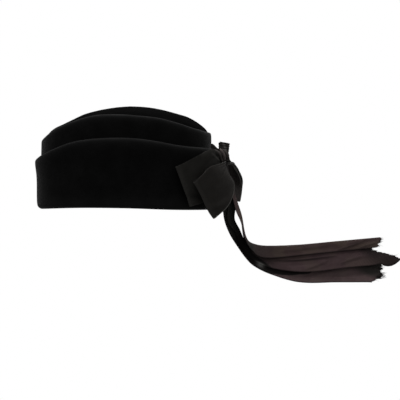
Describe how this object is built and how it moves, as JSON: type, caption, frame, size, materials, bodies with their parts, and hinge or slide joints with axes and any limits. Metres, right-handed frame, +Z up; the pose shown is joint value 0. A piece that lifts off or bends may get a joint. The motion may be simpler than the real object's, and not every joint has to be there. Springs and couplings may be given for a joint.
{
  "type": "pillbox hat with ribbon bow",
  "caption": "Tiered velvet pillbox hat, open below for the head, with a looped ribbon bow at the back and long streamers with frayed ends.",
  "frame": {"origin": "middle of the head opening, in the plane of the rim, where the hat sits on a head", "axes": "+X to the back of the hat, where the bow sits and the streamers trail; -Y to the side that the bow hangs over; +Z up through the crown"},
  "size_m": [0.4228, 0.1788, 0.203],
  "materials": {
    "crown_velvet": "black cotton velvet, dense short pile",
    "band_velvet": "black cotton velvet, dense short pile, paler along its folds",
    "bow_ribbon": "black ribbon with a fine cross rib and a dull sheen",
    "streamer_ribbon": "the same ribbon, browned with age, with creases and frayed ends"
  },
  "bodies": {
    "root": {"crown": "crown_velvet", "middle_band": "band_velvet", "lower_band": "band_velvet", "bow_near_loop": "bow_ribbon", "bow_front_loop": "bow_ribbon", "bow_far_loop": "bow_ribbon", "bow_back_loop": "bow_ribbon", "bow_knot": "bow_ribbon", "streamer_top": "streamer_ribbon", "streamer_middle": "streamer_ribbon", "streamer_low": "streamer_ribbon"}
  },
  "joints": []
}
